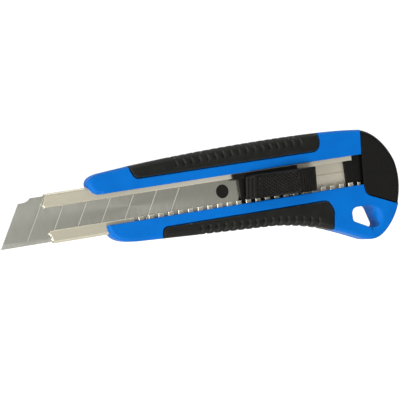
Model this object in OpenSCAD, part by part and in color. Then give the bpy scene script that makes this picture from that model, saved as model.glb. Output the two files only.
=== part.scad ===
// Snap-off utility knife with an 18 mm blade, lying on its back with the thumb slider up.
// +X runs along the blade slide to the end cap, +Y from the cutting edge to the spine.
// The origin is on the flat back face, on the centre line of the blade slide.

/* [Blade] */
// Width of the blade
blade_w = 18; // [17.6:0.1:18]
// Thickness of the blade
blade_t = 0.5; // [0.4:0.05:0.5]
// Length of the cutting edge
blade_l = 100; // [98:1:100]
// Distance between two snap lines
snap_pitch = 10; // [8:0.5:10]
// Slant of the snap lines and of both ends, from square
snap_slant = 30; // [28:1:30]
// Distance from the cutting tip to the origin
tip_reach = 106; // [100:1:106]

/* [Steel channel] */
// Thickness of the folded sheet
sheet_t = 0.55; // [0.45:0.05:0.55]
// Number of lock notches in the lower lip
notch_n = 24; // [20:1:24]
// Distance between two lock notches
notch_pitch = 4.33; // [4.25:0.01:4.33]
// Share of the pitch that is left as a tooth
tooth_share = 0.56; // [0.5:0.01:0.56]

/* [Handle] */
// Thickness of the two shells together
handle_t = 9.2; // [9.2:0.1:9.6]
// Height of the joint between the shells
parting_z = 3.6; // [3.6:0.01:3.62]
// How deep the soft grips are let into the faces
grip_depth = 1.2; // [0.9:0.1:1.2]
// How far the front grips stand proud of the shell
grip_proud = 0.3; // [0.1:0.05:0.4]
// Gap round parts that slide in each other
slide_gap = 0.3; // [0.2:0.05:0.3]

/* [Thumb slider] */
// Length of the thumb button
button_l = 29.6; // [28:0.2:30]
// Height of the button's crest above the back face
crest_z = 15.4; // [14.6:0.1:15.6]
// How far the button goes down when pressed
press_travel = 0.8; // [0.6:0.1:0.8]

/* [Hidden] */
$fn = 48;
EPS = 0.01;
BIG = 200;

// Heights of the layers above the back face
floor_z = 3.65;
lip_z = 6.25;
blade_z = 5.5;
arm_z = 6.85;
plate_z = 7.1;
plate_top = 8.4;
button_z = 9.4;

// The channel, across and along
channel_in = blade_w / 2 + 0.2;
channel_out = channel_in + sheet_t;
channel_front = -86;
channel_rear = 50.5;
lip_up_y = 4.4;
lip_low_y = -4.7;
first_tooth_x = -52.14;

// The slot between the two arms of the front shell
slot_up_y = 6.3;
slot_low_y = -6.15;
slot_end_x = 55;
pocket_y = channel_out + 0.05;

// The end cap's plane of separation and the spigot under it
cap_x = 53.4;
cap_gap = 0.15;
spigot_low = [51.9, -10.1, 1.5];
spigot_high = [61, 11, 7.9];
spigot_wall = 0.8;

// The cap's plug, which fills the rear of the channel over its floor
plug_low = [47.3, -8, 4.5];
plug_high = [62, 8, 6];

// Room for the spare blades
magazine_x = -60.5;
magazine_y = 9.3;
magazine_floor = 1.4;

// The blade's peg hole, and the tooth of the lock spring in its notch
peg_x = -9.76;
peg_r = 2.65;
notch_x = first_tooth_x + (16 + tooth_share) * notch_pitch;
spring_tooth_w = 1.4;
spring_tooth_x = notch_x + ((1 - tooth_share) * notch_pitch - spring_tooth_w) / 2;

// The lock spring: its tail, its free end, half its width, its thickness and height
spring_x = 9;
spring_end_x = 22;
spring_y = 1.4;
spring_t = 0.3;
spring_z = lip_z - 0.05 - spring_t;
tooth_arm_y = -6;

// The carriage: tongue under the blade, neck and low ledge ahead of the button, flange, rear end
tongue_x = [-15, 8];
tongue_y = 6;
neck_x = -2.5;
ledge_z = 7.3;
deck_x = 0.4;
flange_x = [-5.3, 24.1];
carriage_rear = 25.2;

// The thumb button: front foot, crest, and the stem that presses the lock spring
foot_x = 0.2;
foot_top = 12.2;
crest_x = 20;
stem_x = [15, 18];
stem_y = 1.5;
wall_y = 3.6;

// Screws that hold the shells together, put in from the back
SCREWS = [[-42, 12.5], [44, 13.2], [-30, -12.3], [41, -16.5]];
screw_r = 1.1;
screw_head_r = 2;
screw_l = 6.9;
screw_sink = 0.3;

// ---- curves ----

// Points of a cubic curve from a to d, without d itself
function curve(a, b, c, d, n = 8) = [for (i = [0:n - 1]) let (t = i / n, u = 1 - t)
    a * u * u * u + b * 3 * t * u * u + c * 3 * t * t * u + d * t * t * t];

// Points of the arc that rounds the corner p between its neighbours a and b
function corner(a, p, b, r, n) =
    let (u = (a - p) / norm(a - p), v = (b - p) / norm(b - p))
    let (half = acos(u * v) / 2, middle = p + (u + v) / norm(u + v) * r / sin(half))
    let (from = p + u * r / tan(half) - middle, to = p + v * r / tan(half) - middle)
    let (start = atan2(from.y, from.x), turn = atan2(to.y, to.x) - start)
    let (sweep = turn > 180 ? turn - 360 : turn < -180 ? turn + 360 : turn)
    [for (i = [0:n]) middle + r * [cos(start + sweep * i / n), sin(start + sweep * i / n)]];

// A polygon with each corner rounded by its own radius
function rounded(points, radii, n = 5) = let (count = len(points))
    [for (i = [0:count - 1])
        each corner(points[(i + count - 1) % count], points[i], points[(i + 1) % count], radii[i], n)];

// ---- outlines, seen from the front ----

// Where the end cap's seam reaches the spine
seam_top = [55.2, 16.4];
// The spine, from the upper nose to the end cap
spine = concat(
    curve([-67.7, 10.8], [-67.5, 12.9], [-65.6, 14.2], [-61, 14.6], 6),
    curve([-61, 14.6], [-45, 16], [-20, 17.6], [10, 17.9], 10),
    curve([10, 17.9], [28, 18.1], [44, 17.8], seam_top, 7)
);
upper_nose = curve([-63.2, 6.3], [-65.8, 6.5], [-67.4, 8.6], [-67.7, 10.8], 5);
// The rear edge of the end cap
cap_back = concat(
    curve(seam_top, [62, 14.9], [67.5, 8.5], [70, 1.5], 9),
    curve([70, 1.5], [71.5, -4.5], [71, -10], [68.7, -16.4], 8)
);
// Where the end cap meets the shells, from the bottom up to seam_top
cap_seam = concat(
    [[68.7, -16.4]],
    curve([55.6, -11.1], [54, -10.4], [53.5, -9.2], [53.4, -6.5], 5),
    curve([53.4, -6.5], [53.2, -2], [54.2, 6], seam_top, 6)
);
// The hook behind the lanyard hole, and the finger recess ahead of it
hook = concat(
    curve([68.7, -16.4], [66.5, -22], [62, -26.5], [58.5, -28.2], 8),
    curve([58.5, -28.2], [56, -29.4], [53, -29.4], [50, -28.1], 6)
);
belly = concat(
    curve([50, -28.1], [40, -23.8], [30, -18.8], [10, -17.1], 10),
    curve([10, -17.1], [-10, -16.3], [-30, -15.2], [-48, -14.3], 5)
);
lower_nose = concat(
    curve([-48, -14.3], [-57, -13.9], [-61.9, -12.3], [-61.8, -6.15], 8),
    [[-61.8, -6.15]]
);
back_nose = curve([-48, -14.3], [-75, -10], [-56, 12.5], [-50, 15.43], 12);

// The whole handle with its end cap
whole = concat(upper_nose, spine, cap_back, hook, belly, lower_nose);

// The hole for a lanyard
lanyard_hole = rounded([[46.1, -14.9], [55.9, -15], [58.9, -24.3], [54.2, -24.3], [46.1, -20.4]],
    [2.6, 2.4, 1.4, 3, 1.6]);

// Edges of the soft grips on the faces, open towards the outline
upper_grip_edge = rounded([[-49.6, 26], [-49.6, 14.6], [-47.6, 10.5], [34.4, 10.5], [35.4, 14.4], [33.6, 26]],
    [1, 6, 2.4, 3, 3, 1]);
lower_grip_edge = rounded([[-42, -32], [-38.6, -10.5], [35.6, -10.5], [37.8, -14.6], [35, -32]],
    [1, 2, 2.6, 4, 1]);

// ---- shared shapes ----

module slab(points, low, high) {
    translate([0, 0, low]) linear_extrude(height = high - low) polygon(points);
}

module block(low, high) {
    translate(low) cube(high - low);
}

// The handle's outline with the room for the end cap taken away
module handle_layer(low, high) {
    difference() {
        slab(whole, low, high);
        slab(concat(cap_seam, [seam_top, [55.2, 40], [90, 40], [90, -16.4]]), low - EPS, high + EPS);
    }
}

// One grip: a face layer, and a skirt round the outer edge as far as the parting line
module grip(edge, side, face_low, face_high, skirt_low, skirt_high) {
    intersection() {
        slab(edge, -1, BIG);
        union() {
            slab(whole, face_low, face_high);
            difference() {
                slab(whole, skirt_low, skirt_high);
                translate([0, -side * grip_depth, 0]) slab(whole, skirt_low - EPS, skirt_high + EPS);
            }
        }
    }
}

// Both grips of one face
module front_grips(top) {
    face_low = handle_t - grip_depth;
    grip(upper_grip_edge, 1, face_low, top, parting_z, face_low + EPS);
    grip(lower_grip_edge, -1, face_low, top, parting_z, face_low + EPS);
}

module back_grips() {
    grip(upper_grip_edge, 1, 0, grip_depth, grip_depth - EPS, parting_z);
    grip(lower_grip_edge, -1, 0, grip_depth, grip_depth - EPS, parting_z);
}

// A blade with its slanted ends, the clipped front corner, the snap lines and the bevel
module snap_blade(low) {
    lean = blade_w * tan(snap_slant);
    clip = 1.8;
    score = 0.08;
    bevel_w = 1.9;
    difference() {
        slab([[0, 0], [blade_l, 0], [blade_l + lean, blade_w], [lean + 3.6, blade_w],
            [lean + 2.4, blade_w - clip * 0.75], [(blade_w - clip) * tan(snap_slant), blade_w - clip]],
            low, low + blade_t);
        translate([peg_x + tip_reach, blade_w / 2, low - 1]) cylinder(r = peg_r + 0.1, h = 3);
        for (i = [1:7]) translate([snap_pitch * i, 0, low + blade_t - score])
            rotate([0, 0, -snap_slant]) translate([-0.15, -2, 0]) cube([0.3, 30, 1]);
        translate([-5, 0, low]) rotate([90, 0, 90]) linear_extrude(height = blade_l + 20)
            polygon([[-1, 0.05], [0, 0.05], [bevel_w, blade_t], [bevel_w, 2], [-1, 2]]);
    }
}

// ---- handle ----

module front_shell() {
    color("royalblue") difference() {
        union() {
            handle_layer(parting_z, handle_t);
            spigot_half(parting_z, spigot_high.z);
        }
        block([-BIG, slot_low_y, parting_z - 1], [slot_end_x, slot_up_y, handle_t + 1]);
        block([-BIG, -pocket_y, parting_z - 1], [cap_x - 0.4, pocket_y, arm_z]);
        block([cap_x - 1, -magazine_y, parting_z - 1], [spigot_high.x + 1, magazine_y, arm_z + 0.05]);
        slab(lanyard_hole, -1, BIG);
        front_grips(BIG);
        for (place = SCREWS) translate([place.x, place.y, 0]) cylinder(r = screw_r, h = screw_l + 0.6);
    }
}

module back_shell() {
    color("royalblue") difference() {
        union() {
            intersection() {
                handle_layer(0, parting_z);
                slab(concat(back_nose, [[-50, 30], [80, 30], [80, -40], [-48, -40]]), -1, BIG);
            }
            spigot_half(spigot_low.z, parting_z);
        }
        block([magazine_x, -magazine_y, magazine_floor], [cap_x - 0.4, magazine_y, parting_z + 1]);
        block([cap_x - 1, -magazine_y, spigot_low.z + spigot_wall], [spigot_high.x + 1, magazine_y, parting_z + 1]);
        slab(lanyard_hole, -1, BIG);
        back_grips();
        for (place = SCREWS) translate([place.x, place.y, -1]) {
            cylinder(r = screw_r + 0.1, h = parting_z + 2);
            cylinder(r = screw_head_r + 0.1, h = screw_sink + 2.3);
        }
    }
}

// The rear spigot that the end cap is pushed onto
module spigot_half(low, high) {
    block([spigot_low.x, spigot_low.y, low], [spigot_high.x, spigot_high.y, high]);
}

module front_upper_grip() {
    color("dimgray") grip(upper_grip_edge, 1, handle_t - grip_depth, handle_t + grip_proud,
        parting_z, handle_t - grip_depth + EPS);
}

module front_lower_grip() {
    color("dimgray") grip(lower_grip_edge, -1, handle_t - grip_depth, handle_t + grip_proud,
        parting_z, handle_t - grip_depth + EPS);
}

module back_upper_grip() {
    color("dimgray") difference() {
        grip(upper_grip_edge, 1, 0, grip_depth, grip_depth - EPS, parting_z);
        screw_access();
    }
}

module back_lower_grip() {
    color("dimgray") difference() {
        grip(lower_grip_edge, -1, 0, grip_depth, grip_depth - EPS, parting_z);
        screw_access();
    }
}

module screw_access() {
    for (place = SCREWS) translate([place.x, place.y, -1]) cylinder(r = screw_head_r + 0.5, h = 4);
}

module shell_screws() {
    color("silver") for (place = SCREWS) translate([place.x, place.y, screw_sink]) difference() {
        union() {
            cylinder(r = screw_head_r, h = 1.3);
            cylinder(r = screw_r - 0.02, h = screw_l);
        }
        translate([-1.3, -0.25, -1]) cube([2.6, 0.5, 1.6]);
        translate([-0.25, -1.3, -1]) cube([0.5, 2.6, 1.6]);
    }
}

module blade_channel() {
    color("lightgray") difference() {
        block([channel_front - 2, -channel_out, floor_z], [channel_rear + 2.5, channel_out, lip_z + sheet_t]);
        block([-BIG, -channel_in, floor_z + sheet_t], [BIG, channel_in, lip_z]);
        block([-BIG, lip_low_y, lip_z - 1], [BIG, lip_up_y, BIG]);
        // Front end: the lips are cut on a slant, with small corners taken off
        slab([[-90, -12], [-84.1, -9.75], [-85.1, -6.6], [-85.9, -5.6], [-85.2, -4.6], [-85.2, 4.2],
            [-86, 4.3], [-86.8, 5.6], [-84.9, 9.8], [-90, 12]], 0, BIG);
        // Rear end: the upper lip and the floor stop short of the lower lip
        block([channel_rear, lip_low_y - 0.4, 0], [BIG, BIG, BIG]);
        for (i = [0:notch_n - 1])
            translate([first_tooth_x + (i + tooth_share) * notch_pitch, lip_low_y - 1.7, lip_z - 0.5])
                cube([(1 - tooth_share) * notch_pitch, 3, 3]);
    }
}

module upper_spare_blade() {
    color("slategray") translate([magazine_x + 0.7, -blade_w / 2, 0]) snap_blade(parting_z - blade_t);
}

module lower_spare_blade() {
    color("slategray") translate([magazine_x + 0.7, -blade_w / 2, 0]) snap_blade(parting_z - 2 * blade_t - 0.05);
}

// A bowed leaf that keeps the spare blades from rattling
module magazine_spring() {
    leaf_t = 0.2;
    leaf_l = 60;
    rise = parting_z - 2 * blade_t - 0.05 - magazine_floor - leaf_t;
    bow = [for (i = [0:12]) let (t = i / 12) [leaf_l * (t - 0.5), magazine_floor + rise * sin(180 * t)]];
    color("silver") rotate([90, 0, 0]) linear_extrude(height = 8, center = true)
        polygon(concat(bow, [for (i = [12:-1:0]) bow[i] + [0, leaf_t]]));
}

module end_cap() {
    shell_side = concat(cap_seam, [seam_top, [55.2, 40], [40, 40], [40, -40], [68.7, -40]]);
    color("black") union() {
        difference() {
            slab(concat(cap_back, cap_seam), 0, handle_t);
            translate([cap_gap, cap_gap, 0]) slab(shell_side, -1, BIG);
            block([0, spigot_low.y - cap_gap, spigot_low.z - cap_gap], spigot_high + cap_gap * [1, 1, 1]);
        }
        block(plug_low, plug_high);
    }
}

// ---- slider ----

module slider_carriage() {
    wing_y = channel_in - slide_gap;
    wing_low = floor_z + sheet_t + slide_gap;
    lean = blade_w * tan(snap_slant);
    blade_end = -tip_reach + blade_l + 0.15;
    neck_low = lip_low_y + slide_gap;
    neck_high = lip_up_y - slide_gap;
    press_floor = spring_z - press_travel - 0.1;
    color("dimgray") difference() {
        union() {
            // Tongue and peg that carry the blade
            block([tongue_x[0], -tongue_y, wing_low], [tongue_x[1], tongue_y, blade_z - EPS]);
            translate([peg_x, 0, blade_z - 0.5]) cylinder(r = peg_r, h = 1.3);
            // Wings that run under the lips, behind the blade's slanted end
            slab([[blade_end, -wing_y], [carriage_rear, -wing_y], [carriage_rear, wing_y],
                [blade_end + lean, wing_y]], wing_low, lip_z - slide_gap);
            block([blade_end + lean, neck_low, blade_z], [carriage_rear, neck_high, plate_z]);
            // Neck between the lips over the blade's end, and the deck under the button
            block([neck_x, neck_low, blade_z + blade_t + 0.05], [carriage_rear, neck_high, ledge_z]);
            block([deck_x, neck_low, plate_z], [carriage_rear, neck_high, plate_top]);
            // Flange that runs over the upper lip
            block([flange_x[0], neck_high - 0.4, plate_z], [flange_x[1], slot_up_y - slide_gap, plate_top]);
        }
        // Slot that grips the lock spring's tail
        block([spring_x, -spring_y, spring_z], [spring_x + 3, spring_y, spring_z + spring_t]);
        // Room for the spring to bend, for its tooth arm and for the button's stem
        block([spring_x + 2.5, -spring_y - 0.6, press_floor], [spring_end_x + 0.5, spring_y + 0.6, plate_z]);
        block([spring_tooth_x - 0.3, tooth_arm_y - 2, press_floor - 0.2],
            [spring_tooth_x + spring_tooth_w + 0.3, 1, plate_z]);
        block([stem_x[0] - 0.2, -stem_y - 0.2, press_floor], [stem_x[1] + 0.2, stem_y + 0.2, BIG]);
    }
}

module blade() {
    color("gray") translate([-tip_reach, -blade_w / 2, 0]) snap_blade(blade_z);
}

// A spring leaf held in the carriage, with a bent arm whose tooth stands in a notch
module lock_spring() {
    tooth_end_x = spring_tooth_x + spring_tooth_w;
    color("silver") union() {
        block([spring_x, -spring_y, spring_z], [spring_end_x, spring_y, spring_z + spring_t]);
        block([spring_tooth_x, tooth_arm_y, spring_z], [tooth_end_x, 1, spring_z + spring_t]);
        block([spring_tooth_x, tooth_arm_y, spring_z], [tooth_end_x, tooth_arm_y + 0.8, lip_z + sheet_t - 0.05]);
    }
}

module thumb_button() {
    // Side profile, from the front foot over the crest to the rear
    rear_x = foot_x + button_l;
    profile = concat(
        [[foot_x, button_z]],
        curve([foot_x + 2.7, foot_top + 0.8], [9, foot_top], [13, crest_z - 1.6], [crest_x, crest_z], 8),
        curve([crest_x, crest_z], [24, crest_z - 0.2], [28.4, foot_top + 1.4], [rear_x, foot_top], 6),
        [[rear_x, foot_top], [rear_x, button_z]]
    );
    inner = concat(
        [[foot_x + 1.8, button_z - 1]],
        curve([foot_x + 3.6, foot_top - 0.4], [9, foot_top - 1.2], [13, crest_z - 2.8], [crest_x, crest_z - 1.3], 8),
        [[rear_x - 2.8, foot_top], [rear_x - 1.4, button_z - 1]]
    );
    // The two long sides draw apart slightly towards the rear
    sides = [[foot_x - 1, -4.75], [rear_x + 1, -5.5], [rear_x + 1, 4.35], [foot_x - 1, 4.8]];
    color("black") union() {
        difference() {
            intersection() {
                rotate([90, 0, 0]) linear_extrude(height = 20, center = true) polygon(profile);
                slab(sides, 0, BIG);
            }
            rotate([90, 0, 0]) linear_extrude(height = 2 * wall_y, center = true) polygon(inner);
        }
        // Stem that pushes the lock spring down
        block([stem_x[0], -stem_y, lip_z + 0.1], [stem_x[1], stem_y, crest_z - 2.2]);
    }
}

front_shell();
back_shell();
front_upper_grip();
front_lower_grip();
back_upper_grip();
back_lower_grip();
shell_screws();
blade_channel();
upper_spare_blade();
lower_spare_blade();
magazine_spring();
end_cap();
slider_carriage();
blade();
lock_spring();
thumb_button();
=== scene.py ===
"""Looks of a snap-off utility knife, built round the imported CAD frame.

Outlines and heights are in millimetres, in the frame's own axes: +X to the end cap, +Y to the
spine, +Z up to the thumb slider. Meshes are turned into metres when they are finished.
"""

import math

import bmesh
import bpy
import numpy as np
from mathutils import Matrix, Vector


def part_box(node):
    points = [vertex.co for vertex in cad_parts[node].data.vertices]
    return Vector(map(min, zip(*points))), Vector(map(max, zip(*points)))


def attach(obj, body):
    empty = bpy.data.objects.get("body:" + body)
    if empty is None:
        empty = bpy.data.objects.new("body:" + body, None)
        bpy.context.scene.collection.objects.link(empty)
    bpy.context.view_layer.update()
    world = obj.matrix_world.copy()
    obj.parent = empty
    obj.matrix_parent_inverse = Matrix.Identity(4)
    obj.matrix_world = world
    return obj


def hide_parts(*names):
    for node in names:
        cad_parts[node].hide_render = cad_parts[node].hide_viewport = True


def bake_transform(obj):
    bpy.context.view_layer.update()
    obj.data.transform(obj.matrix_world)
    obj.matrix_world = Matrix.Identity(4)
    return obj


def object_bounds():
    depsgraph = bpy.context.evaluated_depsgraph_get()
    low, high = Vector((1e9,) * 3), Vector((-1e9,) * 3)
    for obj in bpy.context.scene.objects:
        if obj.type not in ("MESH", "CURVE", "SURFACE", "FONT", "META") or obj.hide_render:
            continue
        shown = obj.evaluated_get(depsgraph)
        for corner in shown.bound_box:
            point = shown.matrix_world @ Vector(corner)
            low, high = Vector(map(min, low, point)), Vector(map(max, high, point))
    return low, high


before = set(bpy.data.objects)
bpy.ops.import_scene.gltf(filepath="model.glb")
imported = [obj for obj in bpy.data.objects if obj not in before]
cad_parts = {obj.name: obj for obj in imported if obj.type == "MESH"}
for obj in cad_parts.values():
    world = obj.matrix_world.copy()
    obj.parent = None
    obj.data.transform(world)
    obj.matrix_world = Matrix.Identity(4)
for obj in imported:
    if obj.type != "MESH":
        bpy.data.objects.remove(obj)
cad_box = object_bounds()

MM = 0.001


def extent(node):
    """Lowest and highest corner of a CAD node, in millimetres."""
    low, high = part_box(node)
    return np.array(low) / MM, np.array(high) / MM


# ---- sizes taken from the frame ----

CHANNEL_LOW, CHANNEL_HIGH = extent("blade_channel")
BLADE_LOW, BLADE_HIGH = extent("blade")
BUTTON_LOW, BUTTON_HIGH = extent("thumb_button")
SPRING_LOW, SPRING_HIGH = extent("lock_spring")
SCREW_LOW, SCREW_HIGH = extent("shell_screws")
PARTING_Z = extent("front_shell")[0][2]
FACE_Z = extent("end_cap")[1][2]
GRIP_Z = extent("front_upper_grip")[1][2]
GRIP_FLOOR_Z = 8.0
GRIP_DEPTH = FACE_Z - GRIP_FLOOR_Z
CHANNEL_OUT = CHANNEL_HIGH[1]
SHEET_T = 0.55
CHANNEL_IN = CHANNEL_OUT - SHEET_T
FLOOR_Z = CHANNEL_LOW[2]
LIP_TOP_Z = CHANNEL_HIGH[2]

# How far a cutter reaches past a surface that it opens, and places well outside the knife
PAST = 1.0
BEYOND_X, BEYOND_Y = -90.0, 32.0

# The slot between the arms, the pocket for the channel, and the room under the end cap
SLOT_LOW_Y, SLOT_HIGH_Y = -6.15, 6.3
SLOT_END_X = 55.0
CHANNEL_ROOM = 0.05
POCKET_Y = CHANNEL_OUT + CHANNEL_ROOM
ARM_Z = LIP_TOP_Z + CHANNEL_ROOM
CAP_X = 53.4
POCKET_END_X = CAP_X - 0.4
CAP_GAP = 0.15
SPIGOT_X = 61.0
SPIGOT_Y = (-10.1, 11.0)
SPIGOT_Z = (1.5, 7.9)
PLUG_LOW, PLUG_HIGH = (47.3, -8, 4.5), (62, 8, 6)
SPIGOT_ROOT_X = CAP_X - 1.5
PASSAGE_X = (CAP_X - 1, SPIGOT_X + PAST)
PASSAGE_Z = (2.3, ARM_Z + CHANNEL_ROOM)
MAGAZINE_X = -60.5
MAGAZINE_Y = 9.3
MAGAZINE_Z = 1.4
LIP_LOW_Y, LIP_HIGH_Y = -4.7, 4.4

# Lock notches in the lower lip
NOTCHES = 24
NOTCH_PITCH = 4.33
NOTCH_WIDTH = 1.905
NOTCH_FLARE = 0.42
FIRST_NOTCH_X = -52.14 + 0.56 * NOTCH_PITCH

# The rounded dish that leads a cord into the lanyard hole from the right
DISH_CENTRE = (54.7, -20.7)
DISH_R = 6.2
DISH_FLARE = 3.2
LEAST_FLARE = 0.02

SCREWS = [(-42, 12.5), (44, 13.2), (-30, -12.3), (41, -16.5)]
SCREW_HEAD_R = 2.0
SCREW_R = 1.1

# Angles of the steps that round an edge
QUARTER = np.radians(np.linspace(0, 90, 7))


# ---- outlines ----

def curve(a, b, c, d, count):
    """Points of a cubic curve from a to d, without d itself."""
    a, b, c, d = (np.array(p, float) for p in (a, b, c, d))
    t = np.linspace(0, 1, count, endpoint=False)[:, None]
    u = 1 - t
    return a * u**3 + 3 * b * t * u**2 + 3 * c * t**2 * u + d * t**3


def path(start, *curves):
    """Points of joined cubic curves, without the last end. Each is two handles, an end and a count."""
    points = []
    for leave, arrive, end, count in curves:
        points.append(curve(start, leave, arrive, end, count))
        start = end
    return np.vstack(points)


def corner(a, p, b, r, n):
    """Points of the arc that rounds the corner p between its neighbours a and b."""
    u, v = (a - p) / np.linalg.norm(a - p), (b - p) / np.linalg.norm(b - p)
    half = math.acos(np.clip(u @ v, -1, 1)) / 2
    middle = p + (u + v) / np.linalg.norm(u + v) * r / math.sin(half)
    start = math.atan2(*(p + u * r / math.tan(half) - middle)[::-1])
    end = math.atan2(*(p + v * r / math.tan(half) - middle)[::-1])
    sweep = (end - start + math.pi) % (2 * math.pi) - math.pi
    turn = start + sweep * np.linspace(0, 1, n + 1)
    return middle + r * np.column_stack([np.cos(turn), np.sin(turn)])


def rounded(points, radii, n=8):
    """A polygon with each corner rounded by its own radius."""
    points = np.array(points, float)
    radii = np.broadcast_to(radii, len(points))
    return np.vstack([
        corner(points[i - 1], points[i], points[(i + 1) % len(points)], radii[i], n)
        for i in range(len(points))
    ])


def rectangle(low, high):
    return np.array([[low[0], low[1]], [high[0], low[1]], [high[0], high[1]], [low[0], high[1]]], float)


def circle(x, y, r, n=32):
    turn = np.linspace(0, 2 * math.pi, n, endpoint=False)
    return np.column_stack([x + r * np.cos(turn), y + r * np.sin(turn)])


SEAM_TOP, SEAM_FOOT = (55.2, 16.4), (68.7, -16.4)
NOSE, CHIN, HOOK_END = (-67.7, 10.8), (-48, -14.3), (50, -28.1)
LOWER_ARM_END = (-61.8, SLOT_LOW_Y)

upper_nose = path((-63.2, 6.3), ((-65.8, 6.5), (-67.4, 8.6), NOSE, 15))
spine = path(
    NOSE,
    ((-67.5, 12.9), (-65.6, 14.2), (-61, 14.6), 18),
    ((-45, 16), (-20, 17.6), (10, 17.9), 30),
    ((28, 18.1), (44, 17.8), SEAM_TOP, 21),
)
cap_back = path(
    SEAM_TOP,
    ((62, 14.9), (67.5, 8.5), (70, 1.5), 27),
    ((71.5, -4.5), (71, -10), SEAM_FOOT, 24),
)
cap_seam = np.vstack([
    [SEAM_FOOT],
    path(
        (55.6, -11.1),
        ((54, -10.4), (53.5, -9.2), (53.4, -6.5), 15),
        ((53.2, -2), (54.2, 6), SEAM_TOP, 18),
    ),
])
hook = path(
    SEAM_FOOT,
    ((66.5, -22), (62, -26.5), (58.5, -28.2), 24),
    ((56, -29.4), (53, -29.4), HOOK_END, 18),
)
belly = path(
    HOOK_END,
    ((40, -23.8), (30, -18.8), (10, -17.1), 30),
    ((-10, -16.3), (-30, -15.2), CHIN, 15),
)
lower_nose = np.vstack([
    path(CHIN, ((-57, -13.9), (-61.9, -12.3), LOWER_ARM_END, 24)),
    [LOWER_ARM_END],
])
back_nose = path(CHIN, ((-75, -10), (-56, 12.5), (-50, 15.43), 36))
back_spine = spine[spine[:, 0] > -49.8]

seam_down = np.vstack([[SEAM_TOP], cap_seam[::-1]])
front_outline = np.vstack([upper_nose, spine, seam_down, hook, belly, lower_nose])
back_outline = np.vstack([back_nose, back_spine, seam_down, hook, belly])
cap_outline = np.vstack([cap_back, cap_seam])

lanyard_hole = rounded(
    [[46.1, -14.9], [55.9, -15], [58.9, -24.3], [54.2, -24.3], [46.1, -20.4]],
    [2.6, 2.4, 1.4, 3, 1.6],
)
upper_grip_edge = rounded(
    [[-49.6, 26], [-49.6, 14.6], [-47.6, 10.5], [34.4, 10.5], [35.4, 14.4], [33.6, 26]],
    [1, 6, 2.4, 3, 3, 1],
)
lower_grip_edge = rounded(
    [[-42, -32], [-38.6, -10.5], [35.6, -10.5], [37.8, -14.6], [35, -32]],
    [1, 2, 2.6, 4, 1],
)


def tidy(points):
    """The outline counter-clockwise, without points that coincide."""
    points = np.array(points, float)
    points = points[np.linalg.norm(points - np.roll(points, 1, 0), axis=1) > 1e-3]
    x, y = points.T
    area = (x * np.roll(y, -1) - y * np.roll(x, -1)).sum()
    return points if area > 0 else points[::-1]


def edge_normals(points):
    """Unit outward normals of a counter-clockwise outline's edges."""
    edge = np.roll(points, -1, 0) - points
    return np.column_stack([edge[:, 1], -edge[:, 0]]) / np.linalg.norm(edge, axis=1)[:, None]


def offset(points, distance):
    """The outline with each edge moved outwards by its own distance."""
    distance = np.broadcast_to(distance, len(points)).astype(float)
    after = edge_normals(points)
    before = np.roll(after, 1, 0)
    distance_before = np.roll(distance, 1)
    turn = before[:, 0] * after[:, 1] - before[:, 1] * after[:, 0]
    sharp = np.abs(turn) > 0.35
    smooth = (before + after) / (1 + (before * after).sum(1))[:, None]
    smooth *= ((distance + distance_before) / 2)[:, None]
    exact = np.column_stack([
        distance_before * after[:, 1] - distance * before[:, 1],
        distance * before[:, 0] - distance_before * after[:, 0],
    ]) / np.where(sharp, turn, 1)[:, None]
    return points + np.where(sharp[:, None], exact, smooth)


def by_x(line):
    return line[np.argsort(line[:, 0])]


def height_at(line, x):
    """The Y of a line, whose points are in order along X, at each x."""
    return np.interp(x, line[:, 0], line[:, 1])


def between(line, first, last):
    """The part of a line between two places along X, with those two points as its ends."""
    inner = line[(line[:, 0] > first[0]) & (line[:, 0] < last[0])]
    return np.vstack([first, inner, last])


def lengths(line):
    """How far each point lies along an open line."""
    return np.concatenate([[0], np.cumsum(np.linalg.norm(np.diff(line, axis=0), axis=1))])


def along(points, count):
    """Evenly spaced points along an open line."""
    place = lengths(points)
    want = np.linspace(0, place[-1], count)
    return np.column_stack([np.interp(want, place, points[:, k]) for k in range(points.shape[1])])


def distance_to(points, line):
    """Distance of each point from an open line."""
    start, stride = line[:-1], np.diff(line, axis=0)
    share = ((points[..., None, :] - start) * stride).sum(-1) / (stride**2).sum(-1)
    nearest = start + np.clip(share, 0, 1)[..., None] * stride
    return np.linalg.norm(points[..., None, :] - nearest, axis=-1).min(-1)


def fall(distance, radius):
    """How far a surface drops at a distance from an edge that is rounded by a radius."""
    inside = np.clip(radius - distance, 0, radius)
    return radius - np.sqrt(radius**2 - inside**2)


def groove(distance, width):
    """A smooth groove's depth, from 1 on its line to 0 past its width."""
    return np.exp(-((distance / (width / 2)) ** 2))


def saw(value):
    """Distance of a number from the nearest whole number."""
    return np.abs(value - np.round(value))


def step(value, low, high):
    """0 below low, 1 above high and smooth between them."""
    t = np.clip((value - low) / (high - low), 0, 1)
    return t * t * (3 - 2 * t)


# ---- meshes ----

def solid(name, points, faces):
    """An object from points in millimetres, with its normals outwards."""
    mesh = bpy.data.meshes.new(name)
    mesh.from_pydata([tuple(p) for p in points], [], faces)
    mesh.validate()
    work = bmesh.new()
    work.from_mesh(mesh)
    bmesh.ops.remove_doubles(work, verts=work.verts, dist=1e-4)
    bmesh.ops.dissolve_degenerate(work, edges=work.edges, dist=1e-4)
    bmesh.ops.recalc_face_normals(work, faces=work.faces)
    work.to_mesh(mesh)
    work.free()
    piece = bpy.data.objects.new(name, mesh)
    bpy.context.scene.collection.objects.link(piece)
    return piece


def loft(name, rings):
    """A closed solid through rings of equally many points."""
    count, layers = len(rings[0]), len(rings)
    faces = []
    for start in range(0, (layers - 1) * count, count):
        for i in range(count):
            after = (i + 1) % count
            faces.append([start + i, start + after, start + count + after, start + count + i])
    faces += [list(range(count))[::-1], list(range((layers - 1) * count, layers * count))]
    return solid(name, np.vstack(rings), faces)


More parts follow.
